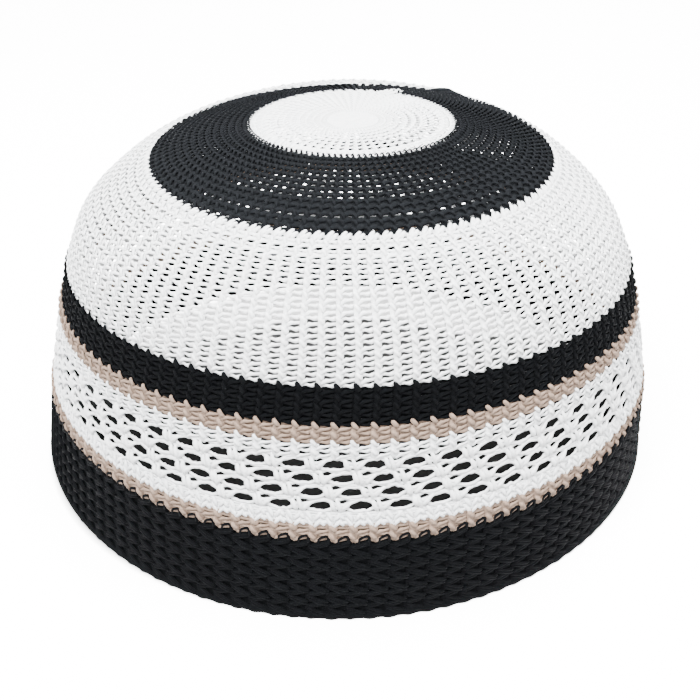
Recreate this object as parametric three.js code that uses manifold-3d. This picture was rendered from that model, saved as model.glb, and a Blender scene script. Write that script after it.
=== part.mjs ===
// A kufi: a round brimless cap knitted from the crown down to a thick hem, with
// a new yarn for each band. Each band of yarn is one hollow solid.
// Millimetres, +Z up, front towards -Y. The origin is on the floor at the middle
// of the rim.

import * as THREE from 'three';
import { mergeVertices } from 'three/addons/utils/BufferGeometryUtils.js';
import Module from 'manifold-3d';

const wasm = await Module();
wasm.setup();

// Overall size: a 57 to 58 cm head, measured round the outside of the rim.
const RIM_RADIUS = 92;
const CAP_HEIGHT = 99;

// Walls: single knit above, and a hem knitted double with a rounded lower edge.
const WALL = 2;
const HEM_WALL = 3.2;
const HEM_ROUND = 1;
const GAP = 0.3;

// Knitted columns go round in pairs. The walls have one facet for each pair.
const COLUMN_PAIRS = 58;

// Openwork: rows of flat lozenge eyelets, one to a pair of columns, with each row
// set back by a quarter of a pair. The solid is cut at every second one.
const EYELET_ROWS = 4;
const EYELETS_CUT_IN_ROW = Math.floor(COLUMN_PAIRS / 2);
const EYELET_LENGTH = 6.2;
const EYELET_HEIGHT = 1.8;
const EYELET_ROW_PITCH = 3.65;

// The side outline, from the rim up. Heights are shares of CAP_HEIGHT, radii and
// the lean of the soft crown towards +X are shares of RIM_RADIUS.
const SECTIONS = [
  { level: 'rim', height: 0, radius: 1, lean: 0 },
  { level: 'hem_top', height: 0.246, radius: 0.978, lean: 0.016 },
  { level: 'lower_stripe_top', height: 0.29, radius: 0.972, lean: 0.018 },
  { level: 'openwork_top', height: 0.503, radius: 0.93, lean: 0.024 },
  { level: 'upper_stripe_top', height: 0.547, radius: 0.918, lean: 0.026 },
  { level: 'upper_band_top', height: 0.638, radius: 0.892, lean: 0.026 },
  { level: 'shoulder', height: 0.784, radius: 0.82, lean: 0.026 },
  { level: 'dome_top', height: 0.924, radius: 0.622, lean: 0.038 },
  { level: 'ring_top', height: 0.992, radius: 0.33, lean: 0.05 },
  { level: 'crown', height: 1, radius: 0, lean: 0.052 },
];

// The rim isn't quite round: each row is one wave of the plan outline, as shares
// of the radius there, at the rim and at the crown. The change from one to the
// other ends at the share PLAN_SETTLES of the height.
const PLAN_WAVES = [
  { waves: 2, rimCos: -0.022, rimSin: 0.013, crownCos: 0.013, crownSin: 0.01 },
  { waves: 3, rimCos: 0.012, rimSin: -0.005, crownCos: -0.005, crownSin: -0.001 },
];
const PLAN_SETTLES = 0.7;

const WHITE = { color: 0xe8eaea, roughness: 0.95 };
const BLACK = { color: 0x2b2d30, roughness: 0.92 };
const BEIGE = { color: 0xcdb7a8, roughness: 0.95 };

// Bands of one wall, with the facets that each takes up its side.
const BANDS = [
  { name: 'lower_stripe', from: 'hem_top', to: 'lower_stripe_top', yarn: BEIGE, facetsUp: 1 },
  { name: 'openwork_band', from: 'lower_stripe_top', to: 'openwork_top', yarn: WHITE, facetsUp: 1 },
  { name: 'upper_stripe', from: 'openwork_top', to: 'upper_stripe_top', yarn: BEIGE, facetsUp: 1 },
  { name: 'upper_band', from: 'upper_stripe_top', to: 'upper_band_top', yarn: BLACK, facetsUp: 2 },
  { name: 'dome_wall', from: 'upper_band_top', to: 'dome_top', yarn: WHITE, facetsUp: 6 },
  { name: 'crown_ring', from: 'dome_top', to: 'ring_top', yarn: BLACK, facetsUp: 3 },
  { name: 'crown_disc', from: 'ring_top', to: 'crown', yarn: WHITE, facetsUp: 2 },
];

// The outline as a curve of radius and height, measured along its own length.
const outline = new THREE.CatmullRomCurve3(
  SECTIONS.map((s) => new THREE.Vector3(s.radius * RIM_RADIUS, 0, s.height * CAP_HEIGHT)),
  false,
  'centripetal',
);
const SPANS = SECTIONS.length - 1;
outline.arcLengthDivisions = 40 * SPANS;
const outlineLength = outline.getLength();

function arcAt(level) {
  const row = SECTIONS.findIndex((s) => s.level === level);
  return outline.getLengths()[(row * outline.arcLengthDivisions) / SPANS];
}

// A point of the wall: its place along the outline and its depth under the outside.
function wallPoint(arc, depth) {
  const share = THREE.MathUtils.clamp(arc / outlineLength, 0, 1);
  const point = outline.getPointAt(share);
  const along = outline.getTangentAt(share);
  const inwards = new THREE.Vector2(-along.z, along.x);
  return new THREE.Vector2(point.x, point.z).addScaledVector(inwards, depth);
}

// Straight values between the rows of the table, for the lean at a height.
function leanAt(height) {
  const share = THREE.MathUtils.clamp(height / CAP_HEIGHT, 0, 1);
  const upper = Math.max(1, SECTIONS.findIndex((s) => s.height >= share));
  const low = SECTIONS[upper - 1];
  const high = SECTIONS[upper];
  const way = (share - low.height) / (high.height - low.height);
  return THREE.MathUtils.lerp(low.lean, high.lean, way) * RIM_RADIUS;
}

// The plan outline at an angle from the front, as a share of the mean radius.
function planShare(angle, height) {
  const way = THREE.MathUtils.clamp(height / (PLAN_SETTLES * CAP_HEIGHT), 0, 1);
  return PLAN_WAVES.reduce((share, row) => {
    const cosine = THREE.MathUtils.lerp(row.rimCos, row.crownCos, way);
    const sine = THREE.MathUtils.lerp(row.rimSin, row.crownSin, way);
    return share + cosine * Math.cos(row.waves * angle) + sine * Math.sin(row.waves * angle);
  }, 1);
}

function leanedPoint(angle, radius, height) {
  const reach = radius * planShare(angle, height);
  const x = reach * Math.sin(angle) + leanAt(height);
  return new THREE.Vector3(x, -reach * Math.cos(angle), height);
}

// The middle of the rim, which goes to the origin.
const rimBox = new THREE.Box3();
for (let pair = 0; pair < COLUMN_PAIRS; pair++) {
  const angle = (pair / COLUMN_PAIRS) * 2 * Math.PI;
  rimBox.expandByPoint(leanedPoint(angle, RIM_RADIUS, HEM_ROUND));
}
const rimMiddle = rimBox.getCenter(new THREE.Vector3()).setZ(0);

function surfacePoint(angle, radius, height) {
  return leanedPoint(angle, radius, height).sub(rimMiddle);
}

// Turns a closed outline of radius and height into a ring that leans and isn't round.
function ringFrom(points) {
  const geometry = new THREE.LatheGeometry(points, COLUMN_PAIRS).rotateX(Math.PI / 2);
  const position = geometry.attributes.position;
  for (let i = 0; i < position.count; i++) {
    const angle = Math.atan2(position.getX(i), -position.getY(i));
    const radius = Math.hypot(position.getX(i), position.getY(i));
    const point = surfacePoint(angle, radius, position.getZ(i));
    position.setXYZ(i, point.x, point.y, point.z);
  }
  geometry.computeVertexNormals();
  return geometry;
}

// A band of single knit between two levels, half a gap short of each neighbour.
function bandGeometry(band) {
  const start = arcAt(band.from) + GAP / 2;
  const end = band.to === 'crown' ? outlineLength : arcAt(band.to) - GAP / 2;
  const arcs = Array.from({ length: band.facetsUp + 1 }, (_, i) =>
    THREE.MathUtils.lerp(start, end, i / band.facetsUp),
  );
  const outside = arcs.map((arc) => wallPoint(arc, 0));
  const inside = arcs.map((arc) => wallPoint(arc, WALL)).reverse();
  if (band.to === 'crown') {
    outside[outside.length - 1].setX(0);
    inside[0].setX(0);
    return ringFrom([...inside, ...outside]);
  }
  return ringFrom([...outside, ...inside, outside[0].clone()]);
}

// The hem: thick at the rim, where it rolls round to a flat foot, and one wall at its top.
function hemGeometry() {
  const top = arcAt('hem_top') - GAP / 2;
  const outside = [];
  for (const turn of [0, 30, 60]) {
    const angle = THREE.MathUtils.degToRad(turn);
    outside.push(
      new THREE.Vector2(
        RIM_RADIUS - HEM_ROUND * (1 - Math.sin(angle)),
        HEM_ROUND * (1 - Math.cos(angle)),
      ),
    );
  }
  for (const arc of [HEM_ROUND, top / 2, top]) {
    outside.push(wallPoint(arc, 0));
  }
  const inside = [
    wallPoint(top, WALL),
    wallPoint(top / 2, HEM_WALL),
    new THREE.Vector2(RIM_RADIUS - HEM_WALL, HEM_ROUND),
    new THREE.Vector2(RIM_RADIUS - HEM_WALL + HEM_ROUND, 0),
  ];
  return ringFrom([...outside, ...inside, outside[0].clone()]);
}

function solidFrom(geometry) {
  const bare = geometry.clone();
  bare.deleteAttribute('normal');
  bare.deleteAttribute('uv');
  const merged = mergeVertices(bare, 1e-4);
  return new wasm.Manifold(
    new wasm.Mesh({
      numProp: 3,
      vertProperties: new Float32Array(merged.attributes.position.array),
      triVerts: new Uint32Array(merged.index.array),
    }),
  );
}

function geometryFrom(solid) {
  const mesh = solid.getMesh();
  const geometry = new THREE.BufferGeometry();
  geometry.setAttribute('position', new THREE.BufferAttribute(mesh.vertProperties, 3));
  geometry.setIndex(new THREE.BufferAttribute(mesh.triVerts, 1));
  geometry.computeVertexNormals();
  return geometry;
}

// One eyelet: a flat lozenge, driven straight through the wall.
function eyeletCutter(angle, arc) {
  const half = EYELET_LENGTH / 2;
  const rise = EYELET_HEIGHT / 2;
  const lozenge = new THREE.Shape([
    new THREE.Vector2(-half, 0),
    new THREE.Vector2(0, -rise),
    new THREE.Vector2(half, 0),
    new THREE.Vector2(0, rise),
  ]);
  const depth = 4 * WALL;
  const cutter = new THREE.ExtrudeGeometry(lozenge, { depth, bevelEnabled: false });
  cutter.translate(0, 0, -depth / 2);
  const middle = wallPoint(arc, WALL / 2);
  const aside = new THREE.Vector3(Math.cos(angle), Math.sin(angle), 0);
  const outwards = new THREE.Vector3(Math.sin(angle), -Math.cos(angle), 0);
  const place = new THREE.Matrix4().makeBasis(aside, new THREE.Vector3(0, 0, 1), outwards);
  place.setPosition(surfacePoint(angle, middle.x, middle.y));
  return cutter.applyMatrix4(place);
}

// The rows of eyelets stand in the middle of the openwork band.
function pierced(wall) {
  const middle = (arcAt('lower_stripe_top') + arcAt('openwork_top')) / 2;
  let solid = solidFrom(wall);
  for (let row = 0; row < EYELET_ROWS; row++) {
    const arc = middle + (row - (EYELET_ROWS - 1) / 2) * EYELET_ROW_PITCH;
    for (let i = 0; i < EYELETS_CUT_IN_ROW; i++) {
      const pair = 2 * i + (row % 2) - row / 4;
      const angle = (pair / COLUMN_PAIRS) * 2 * Math.PI;
      solid = solid.subtract(solidFrom(eyeletCutter(angle, arc)));
    }
  }
  return geometryFrom(solid);
}

const kufi = new THREE.Group();

function add(name, geometry, yarn) {
  const mesh = new THREE.Mesh(geometry, new THREE.MeshStandardMaterial({ ...yarn, metalness: 0 }));
  mesh.name = name;
  kufi.add(mesh);
}

add('hem_band', hemGeometry(), BLACK);
for (const band of BANDS) {
  const wall = bandGeometry(band);
  add(band.name, band.name === 'openwork_band' ? pierced(wall) : wall, band.yarn);
}

export default kufi;
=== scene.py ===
"""A knitted kufi on a pale floor. The cap is knitted from the crown down to the hem, so
the sections below go from the crown disc to the hem, then to the floor and the camera.
Lengths along the knit are in millimetres, and meshes are in metres, +Z up, front -Y."""

import math

import bpy
import numpy as np
from mathutils import Matrix, Vector


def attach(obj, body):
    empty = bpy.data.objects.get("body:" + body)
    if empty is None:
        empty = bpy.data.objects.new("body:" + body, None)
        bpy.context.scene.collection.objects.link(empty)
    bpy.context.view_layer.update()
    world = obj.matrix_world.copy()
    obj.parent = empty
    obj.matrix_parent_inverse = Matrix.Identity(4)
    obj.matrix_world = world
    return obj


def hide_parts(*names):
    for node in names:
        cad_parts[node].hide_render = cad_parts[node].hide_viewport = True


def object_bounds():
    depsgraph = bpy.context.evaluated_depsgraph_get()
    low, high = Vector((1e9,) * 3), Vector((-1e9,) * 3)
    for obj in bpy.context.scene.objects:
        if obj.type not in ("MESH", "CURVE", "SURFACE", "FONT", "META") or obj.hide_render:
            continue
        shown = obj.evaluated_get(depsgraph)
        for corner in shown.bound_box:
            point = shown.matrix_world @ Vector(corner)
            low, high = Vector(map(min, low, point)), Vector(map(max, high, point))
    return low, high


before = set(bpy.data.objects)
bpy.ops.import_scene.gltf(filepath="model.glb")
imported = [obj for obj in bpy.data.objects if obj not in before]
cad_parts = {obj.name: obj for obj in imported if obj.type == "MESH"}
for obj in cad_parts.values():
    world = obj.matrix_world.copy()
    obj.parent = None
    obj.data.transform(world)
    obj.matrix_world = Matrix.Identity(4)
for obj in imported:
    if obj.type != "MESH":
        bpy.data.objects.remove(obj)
CAD_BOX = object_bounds()

# The crown disc. White yarn is drawn together in the middle of the crown, and the
# stitches grow from there in rings. Half as many columns start here as reach the rim,
# and everything that is knitted after the disc hangs from it.

MM = 0.001
RIM_RADIUS = 92.0
CAP_HEIGHT = (CAD_BOX[1].z - CAD_BOX[0].z) / MM

# Levels up the side of the cap: name, and shares of the height, the rim's radius, and
# of that radius again for the lean of the soft crown.
SECTIONS = (
    ("rim", 0.0, 1.0, 0.0),
    ("hem_top", 0.246, 0.978, 0.016),
    ("lower_stripe_top", 0.29, 0.972, 0.018),
    ("openwork_top", 0.503, 0.93, 0.024),
    ("upper_stripe_top", 0.547, 0.918, 0.026),
    ("upper_band_top", 0.638, 0.892, 0.026),
    ("shoulder", 0.784, 0.82, 0.026),
    ("dome_top", 0.924, 0.622, 0.038),
    ("ring_top", 0.992, 0.33, 0.05),
    ("crown", 1.0, 0.0, 0.052),
)
# Waves of the plan outline: count, then cosine and sine shares at the rim and crown. The
# crown's shares hold from this share of the height upwards.
PLAN_WAVES = (
    (2, -0.022, 0.013, 0.013, 0.01),
    (3, 0.012, -0.005, -0.005, -0.001),
)
PLAN_SETTLES = 0.7
COLUMNS = 116
COLUMN_PITCH = 2 * math.pi / COLUMNS
COLUMN_START = math.radians(0.25)


def side_outline(steps):
    """Radius and height along the side of the cap, on a smooth curve through the levels."""
    knots = np.array([(s[2] * RIM_RADIUS, s[1] * CAP_HEIGHT) for s in SECTIONS])
    posts = np.vstack([2 * knots[0] - knots[1], knots, 2 * knots[-1] - knots[-2]])
    gaps = np.sqrt(np.linalg.norm(np.diff(posts, axis=0), axis=1))
    share = np.linspace(0, 1, steps, endpoint=False)[:, None]
    parts = []
    for i in range(len(knots) - 1):
        before, start, end, after = posts[i : i + 4]
        lead, span, trail = gaps[i : i + 3]
        leave = (start - before) / lead - (end - before) / (lead + span) + (end - start) / span
        reach = (end - start) / span - (after - start) / (span + trail) + (after - end) / trail
        leave, reach = leave * span, reach * span
        bend = 3 * (end - start) - 2 * leave - reach
        twist = 2 * (start - end) + leave + reach
        parts.append(start + leave * share + bend * share**2 + twist * share**3)
    return np.vstack([*parts, knots[-1:]])


CURVE_STEPS = 60
outline = side_outline(CURVE_STEPS)
outline_run = np.concatenate([[0], np.cumsum(np.linalg.norm(np.diff(outline, axis=0), axis=1))])
outline_slope = np.gradient(outline, outline_run, axis=0)
LEVEL = {s[0]: outline_run[i * CURVE_STEPS] for i, s in enumerate(SECTIONS)}


def leaned(angle, radius, height):
    """A place in the plan: out of round, and leaning a little to one side."""
    settled = np.clip(height / (PLAN_SETTLES * CAP_HEIGHT), 0, 1)
    share = 1.0
    for waves, rim_cos, rim_sin, crown_cos, crown_sin in PLAN_WAVES:
        share = share + (rim_cos + (crown_cos - rim_cos) * settled) * np.cos(waves * angle)
        share = share + (rim_sin + (crown_sin - rim_sin) * settled) * np.sin(waves * angle)
    lean = np.interp(height / CAP_HEIGHT, [s[1] for s in SECTIONS], [s[3] for s in SECTIONS])
    x = radius * share * np.sin(angle) + lean * RIM_RADIUS
    return np.stack([x, -radius * share * np.cos(angle), height + 0 * x], axis=-1)


rim_turns = np.arange(COLUMNS // 2) * 2 * COLUMN_PITCH
rim_line = leaned(rim_turns, RIM_RADIUS, 1.0)
RIM_MIDDLE = (rim_line.min(axis=0) + rim_line.max(axis=0)) / 2 * (1, 1, 0)

# In front the disc's edge lies a little nearer to the middle of the crown: millimetres up
# the side, the spread of that, and how closely it keeps to the front.
FRONT_SHIFT = 1.9
FRONT_SPREAD = 9.0
FRONT_FOCUS = 3
# The bands sag at the two sides: degrees round and millimetres down, and the share of that
# at five places up the side.
SIDE_SAG = ((95.0, 2.6), (-95.0, 1.8))
SAG_FOCUS = 12
SAG_RUNS = (0, 25, 45, 70, 88)
SAG_SHARES = (0, 0.5, 1, 1, 0)
# The ring's outer edge hangs lower in front and on the right, and sits higher at the back:
# millimetres up the side, as a mean and as waves round the cap, and the spread of them.
EDGE_MEAN = 0.3
EDGE_COS = -2.15
EDGE_SIN = -0.4
EDGE_TWICE = 0.5
EDGE_SPREAD = 10.0
# The shoulder gives a little at the left of the back and on the right: degrees round, place
# up the side, spread, and how far it sinks.
SHOULDER_GIVES = ((-130.0, 100.0, 14.0, 1.1), (108.0, 93.0, 14.0, 0.9))
SHOULDER_FOCUS = 3
# At the back the shoulder puffs up and the crown ring sinks behind it: place up the side,
# spread and height.
BACK_SOFTNESS = ((94.0, 6.5, 4.3), (114.0, 7.0, -1.2))
BACK_FOCUS = 4


def facing(angle, degrees, focus):
    """One where the cap faces this way, and less the further round a place lies from it."""
    return ((1 + np.cos(angle - math.radians(degrees))) / 2) ** focus


def close_to(run, place, spread):
    """One at this place up the side, and less the further up or down a place lies from it."""
    return np.exp(-(((run - place) / spread) ** 2))


def on_cap(angle, run, out):
    """Points in metres: angle from the front, run up the side from the rim, out from the wall."""
    front = facing(angle, 0, FRONT_FOCUS)
    run = run + FRONT_SHIFT * front * close_to(run, LEVEL["ring_top"], FRONT_SPREAD)
    for degrees, sag in SIDE_SAG:
        run = run - sag * facing(angle, degrees, SAG_FOCUS) * np.interp(run, SAG_RUNS, SAG_SHARES)
    hang = EDGE_MEAN + EDGE_COS * np.cos(angle) + EDGE_SIN * np.sin(angle)
    hang = hang + EDGE_TWICE * np.cos(2 * angle)
    run = run + hang * close_to(run, LEVEL["dome_top"], EDGE_SPREAD)
    for degrees, place, spread, sink in SHOULDER_GIVES:
        out = out - sink * facing(angle, degrees, SHOULDER_FOCUS) * close_to(run, place, spread)
    radius = np.interp(run, outline_run, outline[:, 0])
    height = np.interp(run, outline_run, outline[:, 1])
    for place, spread, rise in BACK_SOFTNESS:
        height = height + rise * facing(angle, 180, BACK_FOCUS) * close_to(run, place, spread)
    radius = radius + out * np.interp(run, outline_run, outline_slope[:, 1])
    height = height - out * np.interp(run, outline_run, outline_slope[:, 0])
    return (leaned(angle, radius, height) - RIM_MIDDLE) * MM


# A step out from the wall that shows which way it faces, and the length of a strand's tip as
# a share of its half thickness.
PROBE = 0.5
TIP_LENGTH = 0.6
TINY = 1e-12


def unit(vectors):
    """The same directions, each one long."""
    return vectors / np.maximum(np.linalg.norm(vectors, axis=-1, keepdims=True), TINY)


def swept(angle, run, out, thick, sides=5, flat=1.0, ring_closed=False):
    """Closed strands of yarn, one for each row of the arrays, with rounded tips.

    Gives the points, the faces, and for each point how far round and along it lies."""
    middle = on_cap(angle, run, out)
    count, rings = angle.shape
    outward = unit(on_cap(angle, run, out + PROBE) - middle)
    if ring_closed:
        along = unit(np.roll(middle, -1, axis=1) - np.roll(middle, 1, axis=1))
    else:
        along = unit(np.gradient(middle, axis=1))
    across = unit(np.cross(along, outward))
    outward = np.cross(across, along)
    turn = 2 * math.pi * (np.arange(sides) + 0.5) / sides
    size = (MM * thick)[..., None, None]
    hoop = np.cos(turn)[:, None] * across[:, :, None]
    hoop = hoop + flat * np.sin(turn)[:, None] * outward[:, :, None]
    points = (middle[:, :, None] + size * hoop).reshape(count, rings * sides, 3)
    steps = np.linalg.norm(np.diff(middle, axis=1), axis=-1) / MM
    travel = np.concatenate([np.zeros((count, 1)), np.cumsum(steps, axis=1)], axis=1)
    lay = np.empty((count, rings, sides, 3))
    lay[..., 0] = np.cos(turn)
    lay[..., 1] = np.sin(turn)
    lay[..., 2] = travel[..., None]
    lay = lay.reshape(count, rings * sides, 3)
    k = np.arange(sides)
    next_k = (k + 1) % sides
    ring_start = np.arange(rings if ring_closed else rings - 1)[:, None] * sides
    this_ring = [ring_start + k, ring_start + next_k]
    next_ring = [(corner + sides) % (rings * sides) for corner in reversed(this_ring)]
    quads = np.stack([*this_ring, *next_ring], axis=-1).reshape(-1, 4)
    tris = np.zeros((0, 3), int)
    if not ring_closed:
        tip = TIP_LENGTH * MM * thick[:, [0, -1], None] * along[:, [0, -1]] * np.array([[-1], [1]])
        points = np.concatenate([points, middle[:, [0, -1]] + tip], axis=1)
        ends = np.zeros((count, 2, 3))
        ends[..., 2] = travel[:, [0, -1]]
        lay = np.concatenate([lay, ends], axis=1)
        last_ring = (rings - 1) * sides
        first_tip = np.full(sides, rings * sides)
        low = np.stack([first_tip, next_k, k], axis=-1)
        high = np.stack([first_tip + 1, last_ring + k, last_ring + next_k], axis=-1)
        tris = np.concatenate([low, high])
    stride = points.shape[1]
    shift = np.arange(count)[:, None, None] * stride
    return (
        points.reshape(-1, 3),
        (quads + shift).reshape(-1, 4),
        (tris + shift).reshape(-1, 3),
        lay.reshape(-1, 3),
    )


def joined(strands):
    """Several sets of strands as one set, with the numbers of its points counted on."""
    start = np.cumsum([0] + [len(s[0]) for s in strands[:-1]])
    return (
        np.concatenate([s[0] for s in strands]),
        np.concatenate([s[1] + n for s, n in zip(strands, start)]),
        np.concatenate([s[2] + n for s, n in zip(strands, start)]),
        np.concatenate([s[3] for s in strands]),
    )


def knit_mesh(name, strands, yarn):
    """A mesh object of many strands, smooth, in one yarn."""
    points, quads, tris, lay = joined(strands)
    mesh = bpy.data.meshes.new(name)
    mesh.vertices.add(len(points))
    mesh.vertices.foreach_set("co", points.ravel())
    corners = np.concatenate([quads.ravel(), tris.ravel()])
    mesh.loops.add(len(corners))
    mesh.loops.foreach_set("vertex_index", corners.astype(np.int32))
    starts = np.concatenate([4 * np.arange(len(quads)), 4 * len(quads) + 3 * np.arange(len(tris))])
    mesh.polygons.add(len(starts))
    mesh.polygons.foreach_set("loop_start", starts.astype(np.int32))
    mesh.update(calc_edges=True)
    mesh.polygons.foreach_set("use_smooth", np.ones(len(starts), bool))
    mesh.attributes.new("lay", "FLOAT_VECTOR", "POINT").data.foreach_set("vector", lay.ravel())
    mesh.validate()
    mesh.materials.append(yarn)
    piece = bpy.data.objects.new(name, mesh)
    bpy.context.scene.collection.objects.link(piece)
    return piece


YARN_SEED = 116
chance = np.random.default_rng(YARN_SEED)

# The columns wander sideways on their way up: degrees aside over the dome, and degrees back
# over the ring, with the place up the side where each begins and the length it takes.
DOME_WANDER = (0.9, 54, 40)
RING_WANDER = (1.4, 116, 13)


def column_angle(run):
    """Where the first column stands at this place up the side, in radians from the front."""
    aside, start, length = DOME_WANDER
    drift = aside * np.sin(np.clip((run - start) / length, 0, 1) * math.pi)
    back, start, length = RING_WANDER
    drift = drift - back * np.clip((run - start) / length, 0, 1)
    return COLUMN_START + np.radians(drift)


# How unevenly the yarn lies: millimetres up and out, share of a column across, and share of
# its thickness. Slim stitches are drawn thinner where a column is narrower than at the rim.
UNEVEN_UP = 0.04
UNEVEN_OUT = 0.03
UNEVEN_ACROSS = 0.012
UNEVEN_THICK = 0.03
FULL_WIDTH = 4.7
LEAST_EASE = 0.2


def stitches(path, levels, stretch=1.0, fill=1.0, columns=COLUMNS, sides=5, flat=0.6, slim=0.0):
    """One strand for each column and level. The path's rows are: share of a column across,
    millimetres up, millimetres out, and half the strand's thickness. Stretch and fill scale
    the heights and the thickness, and may change from level to level."""
    across, up, out, thick = (np.array(v, float) for v in zip(*path))
    levels = np.asarray(levels, float)
    column = np.tile(np.arange(columns), len(levels))[:, None]
    level, stretch, fill = (
        np.repeat(np.broadcast_to(np.asarray(v, float), levels.shape), columns)[:, None]
        for v in (levels, stretch, fill)
    )
    swell, shift_up, shift_across, shift_out = chance.standard_normal((4, len(level), 1))
    run = level + stretch * up + UNEVEN_UP * shift_up
    width = np.interp(level, outline_run, outline[:, 0]) * 2 * math.pi / columns
    ease = np.clip(width / FULL_WIDTH, LEAST_EASE, 1.0)
    place = column + across + UNEVEN_ACROSS * shift_across
    angle = column_angle(run) + place * 2 * math.pi / columns
    size = thick * fill * (1 + UNEVEN_THICK * swell) * (1 - slim + slim * ease)
    return swept(angle, run, out + UNEVEN_OUT * shift_out, size, sides, flat)


# Two courses make a pair: a loop's head lies across the column as a tongue, and two bars
# join the column to the next one, with a slit above and a slit below the first bar.
TONGUE = (
    (0.06, 1.55, -0.20, 0.47),
    (0.13, 1.22, 0.04, 0.48),
    (0.22, 0.72, 0.04, 0.47),
    (0.33, 0.08, -0.28, 0.40),
)
BAR_ONE = (
    (0.30, -1.15, -0.50, 0.36),
    (0.41, -0.50, -0.16, 0.46),
    (0.56, -0.03, -0.20, 0.56),
    (0.72, -0.05, -0.30, 0.42),
    (0.86, 0.08, -0.38, 0.42),
    (1.04, 0.15, -0.70, 0.46),
)
BAR_TWO = (
    (0.42, -1.18, -0.60, 0.50),
    (0.57, -1.13, -0.38, 0.38),
    (0.70, -1.29, -0.34, 0.38),
    (0.84, -1.36, -0.38, 0.56),
    (1.02, -1.14, -0.70, 0.64),
)
PAIR_HEIGHT = 2.5
CORD_THICK = 1.2
CORD_ASIDE = 0.225


def wale_cords(from_run, to_run, rings, share=0.27, out=-0.74, flat=0.4, sides=5):
    """The flat face of each column, which closes it behind its stitches. Its half thickness
    is a share of the column's width."""
    run = np.broadcast_to(np.linspace(from_run, to_run, rings), (COLUMNS, rings))
    column = np.arange(COLUMNS)[:, None]
    width = np.interp(run, outline_run, outline[:, 0]) * COLUMN_PITCH
    angle = column_angle(run) + (column + CORD_ASIDE) * COLUMN_PITCH
    size = np.minimum(CORD_THICK, share * width)
    return swept(angle, run, np.full(run.shape, out), size, sides, flat)


def yarn_material(name, colour, dark, sheen, rough, gloss):
    """Soft matt yarn. Fine fibres run along each strand, as a bump and as streaks of shade
    between the two colours, and broad patches of shade lie over many stitches."""
    material = bpy.data.materials.new(name)
    material.use_nodes = True
    nodes, links = material.node_tree.nodes, material.node_tree.links
    shader = nodes["Principled BSDF"]
    shader.inputs["Roughness"].default_value = rough
    shader.inputs["Sheen Weight"].default_value = sheen
    shader.inputs["Sheen Roughness"].default_value = 0.5
    shader.inputs["Specular IOR Level"].default_value = gloss
    place = nodes.new("ShaderNodeTexCoord")
    lay = nodes.new("ShaderNodeAttribute")
    lay.attribute_name = "lay"
    fibre_space = nodes.new("ShaderNodeMapping")
    fibre_space.inputs["Scale"].default_value = (2.2, 2.2, 0.9)
    links.new(lay.outputs["Vector"], fibre_space.inputs["Vector"])
    fibres = nodes.new("ShaderNodeTexNoise")
    fibres.inputs["Scale"].default_value = 3.0
    fibres.inputs["Detail"].default_value = 3.0
    links.new(fibre_space.outputs["Vector"], fibres.inputs["Vector"])
    patches = nodes.new("ShaderNodeTexNoise")
    patches.inputs["Scale"].default_value = 900.0
    patches.inputs["Detail"].default_value = 2.0
    links.new(place.outputs["Object"], patches.inputs["Vector"])
    total = nodes.new("ShaderNodeMath")
    total.operation = "ADD"
    links.new(fibres.outputs["Fac"], total.inputs[0])
    links.new(patches.outputs["Fac"], total.inputs[1])
    shade = nodes.new("ShaderNodeMapRange")
    shade.inputs["From Min"].default_value = 0.6
    shade.inputs["From Max"].default_value = 1.3
    links.new(total.outputs["Value"], shade.inputs["Value"])
    tint = nodes.new("ShaderNodeMix")
    tint.data_type = "RGBA"
    tint.inputs["A"].default_value = (*dark, 1)
    tint.inputs["B"].default_value = (*colour, 1)
    links.new(shade.outputs["Result"], tint.inputs["Factor"])
    links.new(tint.outputs["Result"], shader.inputs["Base Color"])
    bump = nodes.new("ShaderNodeBump")
    bump.inputs["Strength"].default_value = 0.35
    bump.inputs["Distance"].default_value = 0.0002
    links.new(total.outputs["Value"], bump.inputs["Height"])
    links.new(bump.outputs["Normal"], shader.inputs["Normal"])
    return material


white_yarn = yarn_material("white_yarn", (0.9, 0.905, 0.91), (0.70, 0.715, 0.725), 0.1, 0.85, 0.2)

DISC_COLUMNS = COLUMNS // 2
DISC_EDGE = LEVEL["ring_top"] - 0.2
DISC_DEPTH = -0.45
SHEET_STEPS = 6
# Rows of the disc's sheet between its slits: millimetres up from its edge.
DISC_ROWS = (0.0, 1.5, 4.4, 21.0, 24.0, 27.0, 29.6)
# The slits in it: millimetres up from its edge, and half their height. They are widest open
# in front, a little to the right, narrow towards the sides and are closed at the back.
DISC_SLITS = (
    (2.9, 0.16),
    (6.6, 0.74),
    (9.3, 0.70),
    (12.0, 0.62),
    (14.5, 0.52),
    (16.9, 0.42),
    (19.1, 0.30),
)
SLIT_FACING = 0.25
SLIT_REACH = 0.45
SLIT_LEAST = 0.15
SLIT_CLOSED = 0.02
# A low rib on each column, which fades out towards the crown.
DISC_RIB = 0.18
RIB_ASIDE = 0.6
RIB_LENGTH = 26


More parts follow.
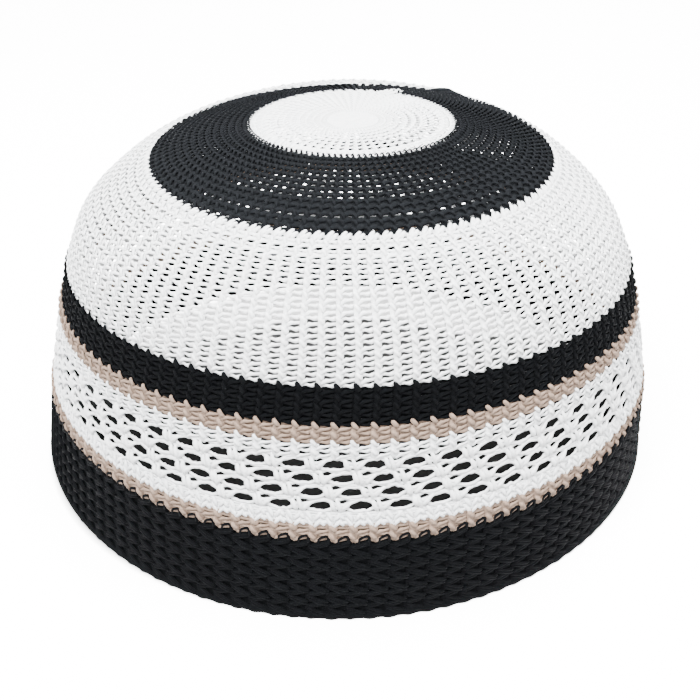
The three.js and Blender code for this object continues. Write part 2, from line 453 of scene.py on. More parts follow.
def disc_sheet():
    """The closed knit of the disc as one sheet, with a few short slits at every other column."""
    rows = [*DISC_ROWS]
    for slit, half in DISC_SLITS:
        rows += [slit - half, slit + half]
    rows = np.array(sorted(rows))
    slit_rows = [np.argmin(abs(rows - (slit - half))) for slit, half in DISC_SLITS]
    middles = rows.copy()
    for slit, half in DISC_SLITS:
        middles[abs(rows - slit) < half + 0.01] = slit
    around = DISC_COLUMNS * SHEET_STEPS
    k = np.arange(around)
    turn = k * 2 * math.pi / around
    near = np.clip((np.cos(turn - SLIT_FACING) + SLIT_REACH) / (2 * SLIT_REACH), 0, 1)
    opened = SLIT_LEAST + (1 - SLIT_LEAST) * near
    run = DISC_EDGE + middles[:, None] + (rows - middles)[:, None] * opened
    turns = np.broadcast_to(turn, run.shape)
    fade = np.clip(1 - rows[:, None] / RIB_LENGTH, 0, 1)
    rib = DISC_RIB * fade * np.cos(DISC_COLUMNS * (turns - COLUMN_START) - RIB_ASIDE)
    sheet = on_cap(turns, run, DISC_DEPTH + rib).reshape(-1, 3)
    crown = on_cap(np.zeros(1), np.array([LEVEL["crown"]]), np.full(1, DISC_DEPTH))
    lay = np.stack([np.cos(DISC_COLUMNS * turns), np.sin(DISC_COLUMNS * turns), run], axis=-1)
    lay = np.concatenate([lay.reshape(-1, 3), [[0, 0, LEVEL["crown"]]]])
    quads = []
    for i in range(len(rows) - 1):
        here = i * around + k
        beside = i * around + (k + 1) % around
        ring = np.stack([here, beside, beside + around, here + around], axis=-1)
        if i in slit_rows:
            ring = ring[(k % SHEET_STEPS < SHEET_STEPS / 2) | (near < SLIT_CLOSED)]
        quads.append(ring)
    last = (len(rows) - 1) * around
    tris = np.stack([last + k, last + (k + 1) % around, np.full(around, len(sheet))], axis=-1)
    return np.concatenate([sheet, crown]), np.concatenate(quads), tris, lay


# Short loops lie on the sheet, in every column at its edge and in every other one above.
DISC_LOOP = (
    (0.05, 0.85, -0.40, 0.30),
    (0.20, 0.45, -0.16, 0.40),
    (0.38, -0.20, -0.16, 0.40),
    (0.50, -0.75, -0.40, 0.30),
)
# Where the knit is joined at the back, a tail of white yarn crosses into the black. Rows:
# degrees round, run up the side, millimetres out, and half the thickness.
DISC_TAIL = (
    ((162.0, 135.5, -0.6, 0.4), (158.5, 131.5, 0.0, 0.55), (154.0, 127.6, 0.0, 0.4)),
    ((159.0, 135.5, -0.6, 0.4), (156.0, 131.5, 0.0, 0.60), (152.0, 128.0, 0.0, 0.4)),
    ((156.0, 135.5, -0.6, 0.4), (153.0, 132.0, 0.0, 0.55), (150.0, 129.2, 0.0, 0.3)),
)


def laid_strand(path, rings=14):
    """One strand along chosen places."""
    rows = np.array(path, float)
    share = np.linspace(0, len(rows) - 1, rings)
    angle, run, out, thick = (np.interp(share, np.arange(len(rows)), v)[None] for v in rows.T)
    return swept(np.radians(angle), run, out, thick, sides=6, flat=0.7)


DISC_COURSES = 11
DISC_COURSE_PITCH = 2.1
DISC_FULL_COURSES = 2
disc_levels = LEVEL["ring_top"] + 1.2 + DISC_COURSE_PITCH * np.arange(DISC_COURSES)
edge_levels = disc_levels[:DISC_FULL_COURSES]
inner_levels = disc_levels[DISC_FULL_COURSES:]
disc_knit = knit_mesh(
    "crown_disc_knit",
    [
        disc_sheet(),
        stitches(DISC_LOOP, edge_levels, sides=4, slim=0.95),
        stitches(DISC_LOOP, inner_levels, columns=DISC_COLUMNS, sides=4, slim=0.9),
        *[laid_strand(path) for path in DISC_TAIL],
    ],
    white_yarn,
)
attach(disc_knit, "root")
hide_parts("crown_disc")

# The crown ring. Black yarn, knitted on round the disc in the full number of columns, so
# close that only a pinhole shows beside each stitch, and in some courses none. On top of
# the crown the black is painted a little greyer than on the side, as painted light from above.

# Painted light: a lighter copy of the black yarn, for the light that falls on top of the crown.
CROWN_BLACK_PAINTED_LIT = (0.0074, 0.0083, 0.0097)
CROWN_BLACK_PAINTED_LIT_DARK = (0.0024, 0.0027, 0.0032)
crown_black_painted_lit_yarn = yarn_material(
    "black_yarn_crown_painted_lit", CROWN_BLACK_PAINTED_LIT, CROWN_BLACK_PAINTED_LIT_DARK, sheen=0.0, rough=0.9, gloss=0.05
)

# A strand's wave has as many crests as the disc has columns, and is deep as well as high.
STRAND_WAVES = 58
DEPTH_WAVE = 0.05
DEPTH_LAG = 1.0


def round_strands(runs, thick, out=-0.95, flat=0.7, wave=0.05, rings=174, sides=4):
    """Strands that run right round the cap, a little wavy."""
    turn = np.arange(rings) * 2 * math.pi / rings
    angle = np.broadcast_to(turn, (len(runs), rings))
    start = chance.uniform(0, 2 * math.pi, (len(runs), 1))
    up, deep, swell = (chance.standard_normal(angle.shape) for each in range(3))
    run = np.array(runs, float)[:, None] + wave * np.sin(STRAND_WAVES * angle + start) + 0.03 * up
    depth = out + DEPTH_WAVE * np.sin(STRAND_WAVES * angle + start + DEPTH_LAG) + 0.02 * deep
    return swept(angle, run, depth, thick * (1 + 0.05 * swell), sides, flat, ring_closed=True)


RING_PAIRS = 14
ring_levels = np.linspace(LEVEL["ring_top"] - 0.45, LEVEL["dome_top"] + 0.3, RING_PAIRS)
ring_stretch = (ring_levels[0] - ring_levels[1]) / PAIR_HEIGHT
# Here the two bars lie as one flat strand, and a round pore stays open above it.
RING_BAR = (
    (0.26, -1.20, -0.60, 0.42),
    (0.40, -0.65, -0.36, 0.82),
    (0.58, -0.25, -0.36, 0.94),
    (0.82, -0.10, -0.46, 0.96),
    (1.06, 0.15, -0.60, 0.74),
)
RING_TONGUE = (
    (0.00, 1.75, -0.25, 0.50),
    (0.09, 1.25, 0.38, 0.66),
    (0.22, 0.70, 0.38, 0.64),
    (0.38, -0.05, -0.25, 0.46),
)
# The innermost black loops end in points over the white of the disc.
RING_POINT = (
    (0.20, -0.95, -0.35, 0.55),
    (0.30, -0.15, -0.10, 0.52),
    (0.40, 0.55, -0.10, 0.28),
    (0.46, 1.00, -0.25, 0.10),
)
# The short seam at the back, where the knit is joined: two thick strands side by side, in
# rows as the disc's tail has them.
RING_SEAM = (
    (
        (148.0, 116.0, -0.4, 0.5),
        (145.5, 111.0, 0.7, 1.2),
        (142.5, 107.0, 1.0, 1.3),
        (139.5, 102.5, 0.1, 0.7),
    ),
    (
        (145.0, 115.0, -0.4, 0.5),
        (142.5, 110.0, 0.2, 1.1),
        (139.5, 106.0, 0.4, 1.2),
        (136.5, 102.5, -0.1, 0.6),
    ),
)
# Courses whose pores are drawn shut, counted outwards from the disc.
RING_SHUT = (0, 1, 9, 10, 12)
shut_runs = ring_levels[list(RING_SHUT)] + 0.85
ring_foot = LEVEL["dome_top"] + 0.2
ring_head = LEVEL["ring_top"] - 0.2
ring_knit = knit_mesh(
    "crown_ring_knit",
    [
        stitches(RING_TONGUE, ring_levels, ring_stretch, slim=0.8),
        stitches(RING_BAR, ring_levels, ring_stretch, flat=0.42),
        wale_cords(ring_foot, ring_head, RING_PAIRS, share=0.4, out=-0.5, flat=0.22, sides=4),
        round_strands(shut_runs, 0.75, out=-0.75, flat=0.4),
        stitches(RING_POINT, [ring_head], flat=0.5),
        *[laid_strand(path) for path in RING_SEAM],
    ],
    crown_black_painted_lit_yarn,
)
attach(ring_knit, "root")
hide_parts("crown_ring")

# The dome. White yarn again, over the shoulder and down the side. Each column is closed,
# and small slits stay open between the bars that join it to the next one.

DOME_PAIRS = 14
# Pairs of courses lie closer below the shoulder than above it: the two pitches, and the
# places up the side between which the one turns into the other.
DOME_FOOT_PITCH = 2.5
DOME_TOP_PITCH = 2.94
DOME_PITCH_TURNS = (72, 84)
dome_head = LEVEL["dome_top"] - 0.8
dome_pitch = [0.0]
for pair in range(1, DOME_PAIRS):
    middle = dome_head - sum(dome_pitch) - 1.3
    dome_pitch.append(np.interp(middle, DOME_PITCH_TURNS, (DOME_FOOT_PITCH, DOME_TOP_PITCH)))
dome_levels = dome_head - np.cumsum(dome_pitch)
dome_stretch = np.array([*dome_pitch[1:], DOME_FOOT_PITCH]) / PAIR_HEIGHT
# The bars' thickness. Those of the second pair are pulled thin, so its slits are wider.
DOME_BAR_FILL = 0.9
DOME_TOP_FILL = (1.08, 0.86, 0.95, 0.97)
dome_fill = DOME_BAR_FILL * dome_stretch
dome_fill[: len(DOME_TOP_FILL)] *= DOME_TOP_FILL
# The dome's topmost loops lean the other way, over the black, as a row of blunt teeth.
DOME_TOOTH = (
    (0.20, -1.00, -0.55, 0.45),
    (0.32, -0.20, -0.10, 0.62),
    (0.46, 0.60, 0.00, 0.60),
    (0.60, 1.35, -0.15, 0.48),
)
# A shorter loop fills the foot of each tooth.
DOME_TOOTH_BACK = (
    (0.60, -1.00, -0.55, 0.45),
    (0.70, -0.30, -0.10, 0.60),
    (0.82, 0.30, -0.05, 0.58),
    (0.92, 0.80, -0.20, 0.42),
)
# The dome is knitted in two pieces, above and below its middle. Only the upper one has the
# row of teeth in place of its first tongues, and near the ring every other slit drawn shut.
dome_half = DOME_PAIRS // 2
shut_levels = dome_levels[:3] + 0.6
for name, part, teeth in (
    ("dome_knit_upper", slice(0, dome_half), 1),
    ("dome_knit_lower", slice(dome_half, None), 0),
):
    levels, stretch, fill = dome_levels[part], dome_stretch[part], dome_fill[part]
    dome_knit = knit_mesh(
        name,
        [
            stitches(TONGUE, levels[teeth:], stretch[teeth:]),
            stitches(DOME_TOOTH, levels[:teeth]),
            stitches(DOME_TOOTH_BACK, levels[:teeth]),
            round_strands(shut_levels[: len(shut_levels) * teeth], 0.5, out=-0.75),
            stitches(BAR_ONE, levels, stretch, fill),
            stitches(BAR_TWO, levels, stretch, fill),
            wale_cords(levels[-1] - 1.4, levels[0] + 1.2, dome_half + 1, sides=4),
        ],
        white_yarn,
    )
    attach(dome_knit, "root")
    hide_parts("dome_wall")

# The upper band. Four double courses of black, drawn so close that no light comes through.
# Its topmost loops lie over the white of the dome.

BLACK = (0.0032, 0.0035, 0.0041)
BLACK_DARK = (0.0011, 0.0012, 0.0014)
black_yarn = yarn_material("black_yarn", BLACK, BLACK_DARK, sheen=0.0, rough=0.9, gloss=0.02)

BAND_TONGUE = (
    (0.03, 1.80, -0.05, 0.44),
    (0.10, 1.35, 0.22, 0.66),
    (0.20, 0.80, 0.22, 0.70),
    (0.33, 0.08, -0.20, 0.50),
)
BAND_PAIRS = 4
BAND_FILL = 0.97
band_pitch = (LEVEL["upper_band_top"] - LEVEL["upper_stripe_top"]) / BAND_PAIRS
band_stretch = band_pitch / PAIR_HEIGHT
band_levels = LEVEL["upper_band_top"] - 0.5 - band_pitch * np.arange(BAND_PAIRS)
# Strands behind the stitches close every slit: one above and two below each course.
band_backing = [
    *(band_levels + 0.6),
    *(band_levels[:-1] - 0.6),
    *(band_levels[:-1] - 1.2),
    band_levels[-1] - 0.6,
    band_levels[-1] - 1.3,
]
band_knit = knit_mesh(
    "upper_band_knit",
    [
        stitches(BAND_TONGUE, band_levels[:1], sides=6),
        stitches(TONGUE, band_levels[1:], band_stretch, sides=6),
        stitches(BAR_ONE, band_levels, band_stretch, BAND_FILL),
        stitches(BAR_TWO, band_levels, band_stretch, BAND_FILL),
        wale_cords(LEVEL["upper_stripe_top"] - 0.3, LEVEL["upper_band_top"] - 0.2, 5),
        round_strands(band_backing, 0.62, flat=0.5),
    ],
    black_yarn,
)
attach(band_knit, "root")
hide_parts("upper_band")

# The upper stripe. Two double courses of beige. Its loops are plump, and the topmost ones
# lie over the black.

BEIGE = (0.262, 0.188, 0.144)
BEIGE_DARK = (0.168, 0.117, 0.088)
beige_yarn = yarn_material("beige_yarn", BEIGE, BEIGE_DARK, sheen=0.0, rough=0.85, gloss=0.1)

STRIPE_PAIRS = 2
STRIPE_FILL = 0.95
STRIPE_TONGUE = (
    (0.04, 1.72, -0.10, 0.52),
    (0.12, 1.25, 0.18, 0.62),
    (0.23, 0.68, 0.18, 0.60),
    (0.36, 0.02, -0.22, 0.46),
)
stripe_pitch = (LEVEL["upper_stripe_top"] - LEVEL["openwork_top"]) / STRIPE_PAIRS
stripe_stretch = stripe_pitch / PAIR_HEIGHT
stripe_levels = LEVEL["upper_stripe_top"] - 0.4 - stripe_pitch * np.arange(STRIPE_PAIRS)
stripe_backing = [*(stripe_levels + 0.55), *(stripe_levels - 0.6)]
stripe_knit = knit_mesh(
    "upper_stripe_knit",
    [
        stitches(STRIPE_TONGUE, stripe_levels, stripe_stretch, sides=6),
        stitches(BAR_ONE, stripe_levels, stripe_stretch, STRIPE_FILL, sides=6),
        stitches(BAR_TWO, stripe_levels, stripe_stretch, STRIPE_FILL, sides=6),
        wale_cords(LEVEL["openwork_top"] + 0.3, LEVEL["upper_stripe_top"] - 0.2, 3),
        round_strands(stripe_backing, 0.6, flat=0.5),
    ],
    beige_yarn,
)
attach(stripe_knit, "root")
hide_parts("upper_stripe")

# The openwork band. Fluffier white yarn: bundles of strands run round between four rows of
# pointed eyelets, and fat crossed strands tie the bundles together between the eyelets.

EYELETS = COLUMNS // 2
EYELET_ROWS = 4
EYELET_ROW_PITCH = 3.65
# Each row starts a little further to the right than the one above it.
EYELET_STEP = math.radians(1.4)
EYELET_FIRST = math.radians(-2.27)
EYELET_HALF_LENGTH = 3.4
EDGE_THICK = 0.42
EDGE_OVERLAP = 0.06
eyelet_middle = (LEVEL["lower_stripe_top"] + LEVEL["openwork_top"]) / 2
eyelet_runs = eyelet_middle + EYELET_ROW_PITCH * ((EYELET_ROWS - 1) / 2 - np.arange(EYELET_ROWS))

# Outline of one eyelet: share of its half length, and millimetres up and down from its line.
EYELET_OUTLINE = (
    (-1.65, 0.00, 0.00),
    (-1.05, 0.00, 0.00),
    (-0.78, 0.38, 0.58),
    (-0.48, 0.72, 0.98),
    (-0.15, 1.12, 1.02),
    (0.42, 1.18, 1.02),
    (0.78, 0.74, 0.60),
    (1.05, 0.00, 0.00),
    (1.65, 0.00, 0.00),
)
EDGE_STEPS = 12
BUNDLE_FLAT = 0.85


def row_turns(steps):
    """Turns round each row of eyelets, counted from the middle of an eyelet, and the share of
    the way from there to the middle of the next eyelet."""
    rings = EYELETS * steps
    row = np.arange(EYELET_ROWS)[:, None]
    turn = np.arange(rings) * 2 * math.pi / rings + EYELET_STEP * row + EYELET_FIRST
    return turn, (np.arange(rings) % steps) / steps


def eyelet_edges(side):
    """The strands that bound the eyelets from above (side 1) or from below (side -1)."""
    turn, share = row_turns(EDGE_STEPS)
    radius = np.interp(eyelet_runs, outline_run, outline[:, 0])[:, None]
    aside = (share - np.round(share)) * 2 * math.pi / EYELETS * radius / EYELET_HALF_LENGTH
    shares, above, below = (np.array(v) for v in zip(*EYELET_OUTLINE))
    widen, up, deep, swell = (chance.standard_normal(turn.shape) for each in range(4))
    open_by = np.interp(aside, shares, above if side > 0 else below) * (1 + 0.1 * widen)
    run = eyelet_runs[:, None] + side * (EDGE_THICK - EDGE_OVERLAP + open_by) + 0.05 * up
    # Between the eyelets, where the edges meet, they lie a little further out.
    out = -0.7 + 0.15 * (open_by < 0.1) + 0.04 * deep
    size = EDGE_THICK * (1 + 0.12 * swell)
    return swept(turn, run, out, size, sides=5, flat=BUNDLE_FLAT, ring_closed=True)


# Strands of one post: millimetres aside from its middle, up, out, and half the thickness.
POST_STRANDS = (
    (
        (-1.9, 1.5, -0.75, 0.42),
        (-1.6, 0.8, -0.25, 0.62),
        (-1.3, -0.2, -0.15, 0.66),
        (-0.7, -1.3, -0.65, 0.5),
    ),
    (
        (-0.7, 1.9, -0.75, 0.4),
        (-0.3, 0.9, -0.15, 0.58),
        (0.05, -0.3, -0.15, 0.6),
        (0.4, -1.6, -0.7, 0.5),
    ),
    (
        (3.4, 1.35, -0.75, 0.36),
        (2.4, 0.95, -0.3, 0.45),
        (1.5, 0.1, -0.1, 0.58),
        (0.7, -1.1, -0.65, 0.5),
    ),
)


def post_strands(path):
    """One strand of every post. A post stands halfway between two eyelets of a row."""
    aside, up, out, thick = (np.array(v, float) for v in zip(*path))
    row = np.repeat(np.arange(EYELET_ROWS), EYELETS)[:, None]
    number = np.tile(np.arange(EYELETS), EYELET_ROWS)[:, None]
    higher, shifted, swell = (chance.standard_normal(row.shape) for each in range(3))
    run = eyelet_runs[row] + up + 0.08 * higher
    middle = EYELET_FIRST + EYELET_STEP * row + (number + 0.5) * 2 * math.pi / EYELETS
    radius = np.interp(run, outline_run, outline[:, 0])
    angle = middle + (aside + 0.18 * shifted) / radius
    size = thick * (1 + 0.08 * swell)
    return swept(angle, run, out + 0 * run, size, sides=6, flat=0.7)


# A small hole stays open over the left end of each eyelet: millimetres from the middle of
# the post to its left, how far the strand above it bows up, and half the bow's width.
HOLE_ASIDE = 0.95
HOLE_RISE = 0.6
HOLE_HALF = 0.62
BUNDLE_STEPS = 8
BUNDLE_THICK = 0.48


def bundle_middles():
    """The middle strand above each row of eyelets, bowed up over the small holes."""
    turn, share = row_turns(BUNDLE_STEPS)
    radius = np.interp(eyelet_runs, outline_run, outline[:, 0])[:, None]
    aside = (share - 0.5) * 2 * math.pi / EYELETS * radius - HOLE_ASIDE
    up, swell, deep = (chance.standard_normal(turn.shape) for each in range(3))
    bow = HOLE_RISE * close_to(aside, 0, HOLE_HALF) + 0.06 * up
    run = eyelet_runs[:, None] + EYELET_ROW_PITCH / 2 + bow
    size = BUNDLE_THICK * (1 + 0.06 * swell)
    return swept(turn, run, -0.8 + 0.04 * deep, size, sides=4, flat=BUNDLE_FLAT, ring_closed=True)


# The last white course hangs over the beige in small uneven points, two for each column.
FOOT_LOOP = (
    ((-0.12, 1.9, -0.70, 0.50), (0.04, 0.9, -0.25, 0.60), (0.18, -0.45, -0.35, 0.42)),
    ((0.62, 1.7, -0.70, 0.50), (0.44, 0.8, -0.20, 0.56), (0.27, -0.40, -0.35, 0.40)),
    ((0.45, 1.6, -0.80, 0.45), (0.62, 0.8, -0.35, 0.52), (0.76, 0.05, -0.45, 0.40)),
)
OPEN_STRETCH = 0.94
OPEN_FILL = 0.85
# Both bars of the upper course are there, and only the first one, thinner, of the lower.
OPEN_LOW_FILL = 0.72
open_levels = LEVEL["openwork_top"] - 0.4 - 2.3 * np.arange(2)
# A bundle of strands lies below the last row of eyelets, and one more behind the foot loops.
bundle = {"flat": BUNDLE_FLAT, "rings": 3 * COLUMNS, "sides": 5}
low_bundle = eyelet_runs[-1] - np.array([1.95, 2.7, 3.45])
foot = LEVEL["lower_stripe_top"]
openwork_knit = knit_mesh(
    "openwork_knit",
    [
        eyelet_edges(1),
        eyelet_edges(-1),
        bundle_middles(),
        round_strands(low_bundle, BUNDLE_THICK, out=-0.9, wave=0.12, **bundle),
        *[post_strands(path) for path in POST_STRANDS],
        stitches(TONGUE, open_levels, OPEN_STRETCH),
        stitches(BAR_ONE, open_levels, OPEN_STRETCH, [OPEN_FILL, OPEN_LOW_FILL]),
        stitches(BAR_TWO, open_levels[:1], OPEN_STRETCH, OPEN_FILL),
        wale_cords(LEVEL["openwork_top"] - 3.4, LEVEL["openwork_top"] + 0.2, 4),
        *[stitches(path, [foot + 1.7, foot]) for path in FOOT_LOOP],
        round_strands([foot + 0.8], 0.6, out=-0.8, **bundle),
    ],
    white_yarn,
)
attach(openwork_knit, "root")
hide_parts("openwork_band")

# The lower stripe. Two double courses of beige over the hem, in the same plump loops as the
# upper stripe's. The lower course has no second bar, since the hem begins there.

LOW_TONGUE_STRETCH = 0.95
LOW_BAR_STRETCH = 0.9
low_foot = LEVEL["hem_top"] + 0.1
low_head = LEVEL["lower_stripe_top"] - 0.2
low_levels = LEVEL["hem_top"] + np.array([2.75, 0.55])
low_backing = LEVEL["hem_top"] + np.array([4.3, 3.6, 1.9, 1.0])
low_stripe_knit = knit_mesh(
    "lower_stripe_knit",
    [
        stitches(STRIPE_TONGUE, low_levels, LOW_TONGUE_STRETCH, sides=6),
        stitches(BAR_ONE, low_levels, LOW_BAR_STRETCH, STRIPE_FILL, sides=6),
        stitches(BAR_TWO, low_levels[:1], LOW_BAR_STRETCH, STRIPE_FILL, sides=6),
        wale_cords(low_foot, low_head, 3, share=0.3, out=-0.55),
        round_strands(low_backing, 0.5, out=-0.75),
    ],
    beige_yarn,
)
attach(low_stripe_knit, "root")
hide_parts("lower_stripe")

# The hem. Black, knitted double and turned in at the rim, in a thick herringbone: each
# chevron points to the right, and its tip lies in the mouth of the next one.

HEM_ROWS = 7
HEM_ROW_PITCH = 3.68
# The two arms of a chevron: one falls to its tip on the right, and one rises to it. Each is
# two strands, the second one this far under or over the first.
HEM_PLY = 0.80
HEM_FALL = (
    (0.00, 1.95, -0.72, 0.38),
    (0.25, 1.55, -0.38, 0.45),
    (0.60, 0.92, -0.14, 0.47),
    (0.95, 0.26, -0.18, 0.46),
    (1.16, -0.10, -0.56, 0.36),
)
HEM_RISE = (
    (0.00, -1.95, -0.74, 0.38),
    (0.25, -1.60, -0.43, 0.45),
    (0.60, -1.00, -0.25, 0.47),
    (0.95, -0.42, -0.33, 0.45),
    (1.10, -0.22, -0.64, 0.38),
)
# The head of each black loop shows as a thin arch over the beige.
HEM_ARCH = (
    (0.50, -0.50, -0.20, 0.38),
    (0.52, 0.60, 0.04, 0.34),
    (0.66, 1.20, 0.10, 0.33),
    (0.86, 1.68, 0.10, 0.34),
    (0.99, 1.35, 0.06, 0.36),
    (1.02, -0.40, -0.20, 0.40),
)
hem_levels = LEVEL["hem_top"] - 0.5 - HEM_ROW_PITCH * np.arange(HEM_ROWS)
# The turned-in edge at the rim: millimetres up the side and millimetres out.
RIM_EDGE = ((1.6, 0.15), (0.9, 0.28), (0.3, -0.15), (0.0, -1.3), (0.3, -2.6), (1.2, -3.1))
# The lining's inner face goes from here at the rim to there at the top, and its outer face
# stands close behind the chevrons.
LINING_INSIDE = (-3.2, -2.0)
LINING_OUTSIDE = -0.64
LINING_TOP = -0.85
LINING_STEPS = 8
LINING_RIB = 0.12


def hem_lining():
    """The inner layer of the hem, one closed band with a rounded lower edge and low ribs."""
    top = LEVEL["hem_top"] - 0.2
    low, high = LINING_INSIDE
    shares = [step / LINING_STEPS for step in range(1, LINING_STEPS)]
    rows = [*RIM_EDGE]
    rows += [(top * share, low + (high - low) * share) for share in shares]
    rows += [(top, high), (top, LINING_TOP)]
    rows += [(top * share, LINING_OUTSIDE) for share in reversed(shares)]
    run, out = (np.array(v, float)[None] for v in zip(*rows))
    around = 2 * COLUMNS
    turn = np.arange(around)[:, None] * 2 * math.pi / around
    rib = LINING_RIB * np.cos(COLUMNS * turn) * (out < high)
    points = on_cap(turn + 0 * run, run + 0 * turn, out + rib).reshape(-1, 3)
    grid = np.arange(len(points)).reshape(around, len(rows))
    beside = np.roll(grid, -1, axis=0)
    corners = [grid, np.roll(grid, -1, axis=1), np.roll(beside, -1, axis=1), beside]
    quads = np.stack(corners, axis=-1).reshape(-1, 4)
    return points, quads, np.zeros((0, 3), int), np.zeros(points.shape)


fall_levels = hem_levels[1:] + 0.1
rise_levels = hem_levels - 0.1
hem_knit = knit_mesh(
    "hem_knit",
    [
        stitches(HEM_FALL, fall_levels, flat=1.0),
        stitches(HEM_FALL, fall_levels - HEM_PLY, flat=1.0),
        stitches(HEM_RISE, rise_levels, flat=1.0, sides=4),
        stitches(HEM_RISE, rise_levels[:-1] + HEM_PLY, flat=1.0),
        stitches(HEM_ARCH, [LEVEL["hem_top"]], flat=1.0),
        hem_lining(),
    ],
    black_yarn,
)
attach(hem_knit, "root")
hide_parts("hem_band")

# The floor, pale and plain, and brightly lit like a studio sweep. The part of it that the
# cap covers has a painted shadow in its colour: dark, and without the floor's glow.

FLOOR_SIZE = 24.0
# The painted shadow is round once squeezed, since the cap is a little wider than it is deep.
SHADE_RADIUS = 0.0865
SHADE_SQUEEZE = 0.957
SHADE_BLUR = 0.003
# Behind this line the floor near the wall is painted in half shade, with a faint glow.
SHADE_FRONT = 0.042
SHADE_FRONT_BLUR = 0.006
SHADE_BACK_RADIUS = 0.0615
# Painted light: the half shade's glow as a share of the floor's, and a fainter glow in the deep
# shade that rises towards the back.
PAINTED_HALF_SHADE = 0.13
PAINTED_DEEP_GLOW = 0.010
FLOOR_PALE = 0.92
# The colour of the painted shadow under the cap.
FLOOR_PAINTED_SHADOW = 0.018
floor_mesh = bpy.data.meshes.new("floor")
half = FLOOR_SIZE / 2
corners = [(-half, -half, 0), (half, -half, 0), (half, half, 0), (-half, half, 0)]
floor_mesh.from_pydata(corners, [], [(0, 1, 2, 3)])
floor_paint = bpy.data.materials.new("floor_paint")
floor_paint.use_nodes = True
nodes, links = floor_paint.node_tree.nodes, floor_paint.node_tree.links
paint = nodes["Principled BSDF"]
paint.inputs["Roughness"].default_value = 0.9
paint.inputs["Emission Strength"].default_value = 10.0
paint.inputs["Specular IOR Level"].default_value = 0.1
place = nodes.new("ShaderNodeTexCoord")
plan = nodes.new("ShaderNodeVectorMath")
plan.operation = "MULTIPLY"
plan.inputs[1].default_value = (SHADE_SQUEEZE, 1.0, 0.0)
links.new(place.outputs["Object"], plan.inputs[0])
reach = nodes.new("ShaderNodeVectorMath")
reach.operation = "LENGTH"
links.new(plan.outputs["Vector"], reach.inputs[0])
axes = nodes.new("ShaderNodeSeparateXYZ")
links.new(place.outputs["Object"], axes.inputs[0])


def ramp(name, source, low, high, at_low, at_high):
    """A value that runs from one number to another between two places."""
    node = nodes.new("ShaderNodeMapRange")
    node.name = name
    node.inputs["From Min"].default_value = low
    node.inputs["From Max"].default_value = high
    node.inputs["To Min"].default_value = at_low
    node.inputs["To Max"].default_value = at_high
    links.new(source, node.inputs["Value"])
    return node.outputs["Result"]


def combined(operation, first, second):
    """One value worked out from two."""
    node = nodes.new("ShaderNodeMath")
    node.operation = operation
    links.new(first, node.inputs[0])
    links.new(second, node.inputs[1])
    return node.outputs["Value"]


# The floor's painted shadow: dark where the cap covers it, with painted glows as set above.
from_middle, backwards = reach.outputs["Value"], axes.outputs["Y"]
front_edge = (SHADE_FRONT, SHADE_FRONT + SHADE_FRONT_BLUR)
round_edge = (SHADE_RADIUS, SHADE_RADIUS + SHADE_BLUR)
shadow_edge = ramp("shadow edge", backwards, *front_edge, SHADE_RADIUS, SHADE_BACK_RADIUS)
beyond = combined("SUBTRACT", from_middle, shadow_edge)
open_floor = ramp("open floor", beyond, 0.0, SHADE_BLUR, 0.0, 1.0)
painted_daylight = ramp("painted_daylight", from_middle, *round_edge, PAINTED_HALF_SHADE, 1.0)
glow = combined("MULTIPLY", open_floor, painted_daylight)
deep = ramp("deep shade", backwards, 0.0, SHADE_FRONT, 0.0, PAINTED_DEEP_GLOW)
lit = combined("MAXIMUM", glow, deep)
for socket, share, pale, dark in (
    ("Base Color", open_floor, FLOOR_PALE, FLOOR_PAINTED_SHADOW),
    ("Emission Color", lit, 1.0, 0.0),
):
    tint = nodes.new("ShaderNodeMix")
    tint.data_type = "RGBA"
    tint.inputs["A"].default_value = (dark, dark, dark, 1)
    tint.inputs["B"].default_value = (pale, pale, pale, 1)
    links.new(share, tint.inputs["Factor"])
    links.new(tint.outputs["Result"], paint.inputs[socket])
floor_mesh.materials.append(floor_paint)
floor = bpy.data.objects.new("floor", floor_mesh)
bpy.context.scene.collection.objects.link(floor)
# The floor throws no light up at the hem.
floor.visible_diffuse = False

# The light. A white studio shines from all round, stronger from above than from below,
# and three soft boxes stand at the left, at the right and over the top.

WORLD_ABOVE = 2.0
WORLD_BELOW = 0.62
world = bpy.data.worlds.new("studio")
world.use_nodes = True
nodes, links = world.node_tree.nodes, world.node_tree.links
nodes["Background"].inputs["Color"].default_value = (1, 1, 1, 1)
sky_place = nodes.new("ShaderNodeTexCoord")
sky_axes = nodes.new("ShaderNodeSeparateXYZ")
links.new(sky_place.outputs["Generated"], sky_axes.inputs[0])
sky = nodes.new("ShaderNodeMapRange")
sky.inputs["From Min"].default_value = -0.12
sky.inputs["From Max"].default_value = 0.04
sky.inputs["To Min"].default_value = WORLD_BELOW
sky.inputs["To Max"].default_value = WORLD_ABOVE
links.new(sky_axes.outputs["Z"], sky.inputs["Value"])
links.new(sky.outputs["Result"], nodes["Background"].inputs["Strength"])
bpy.context.scene.world = world


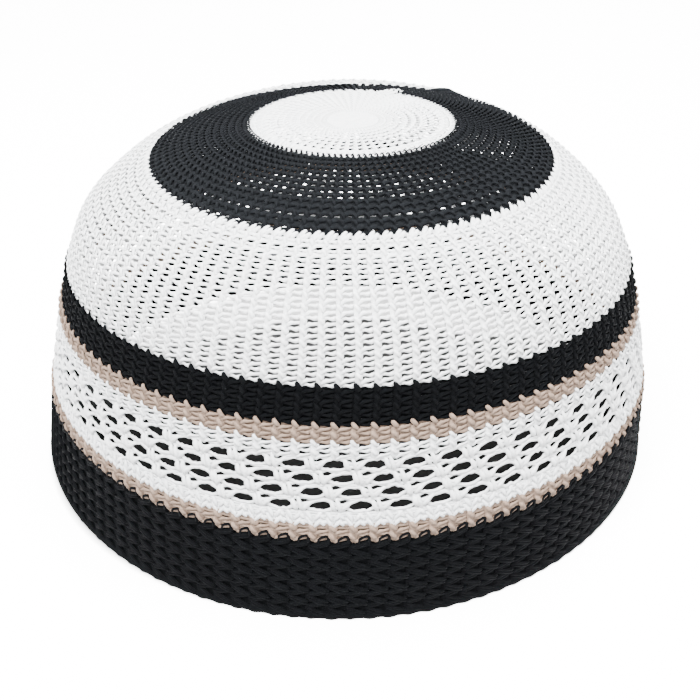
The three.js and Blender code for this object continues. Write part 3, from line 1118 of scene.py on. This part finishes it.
def softbox(name, place, target, size, power):
    """A square soft box that faces its target."""
    light = bpy.data.lights.new(name, "AREA")
    light.shape = "SQUARE"
    light.size = size
    light.energy = power
    lamp = bpy.data.objects.new(name, light)
    lamp.location = place
    lamp.rotation_euler = (Vector(target) - Vector(place)).to_track_quat("-Z", "Y").to_euler()
    bpy.context.scene.collection.objects.link(lamp)


softbox("key", (-0.35, -0.55, 1.0), (0, 0, 0.05), 0.5, 50)
softbox("fill", (0.7, -0.5, 0.6), (0, 0, 0.05), 0.6, 16)
softbox("top", (0.1, 0.2, 1.1), (0, 0, 0.08), 0.6, 30)

# Light comes through the white knit from all sides. A weak lamp inside the cap stands for it.
INSIDE_POWER = 0.02
inside_light = bpy.data.lights.new("inside", "POINT")
inside_light.energy = INSIDE_POWER
inside_light.shadow_soft_size = 0.02
inside_lamp = bpy.data.objects.new("inside", inside_light)
inside_lamp.location = (0.003, -0.01, 0.055)
inside_lamp.visible_camera = False
bpy.context.scene.collection.objects.link(inside_lamp)

# The camera looks down at the front of the cap. It stands a little over a quarter of a
# metre in front of it and is turned a little to one side, as in the photo.

CAMERA_PLACE = (0.00201, -0.2701, 0.1901)
CAMERA_FALL = math.radians(28.96)
CAMERA_ROLL = math.radians(-0.87)
forward = Vector((0, math.cos(CAMERA_FALL), -math.sin(CAMERA_FALL)))
upright = Vector((0, math.sin(CAMERA_FALL), math.cos(CAMERA_FALL)))
level_right = Vector((1, 0, 0))
right = math.cos(CAMERA_ROLL) * level_right + math.sin(CAMERA_ROLL) * upright
upward = math.cos(CAMERA_ROLL) * upright - math.sin(CAMERA_ROLL) * level_right
camera_data = bpy.data.cameras.new("camera")
camera_data.lens = 51.6
camera_data.sensor_width = 36
camera_data.shift_x = 0.004
camera_data.shift_y = -0.0681
camera_data.clip_start = 0.01
camera = bpy.data.objects.new("camera", camera_data)
camera_turn = Matrix((right, upward, -forward)).transposed().to_4x4()
camera.matrix_world = Matrix.Translation(CAMERA_PLACE) @ camera_turn
bpy.context.scene.collection.objects.link(camera)
bpy.context.scene.camera = camera
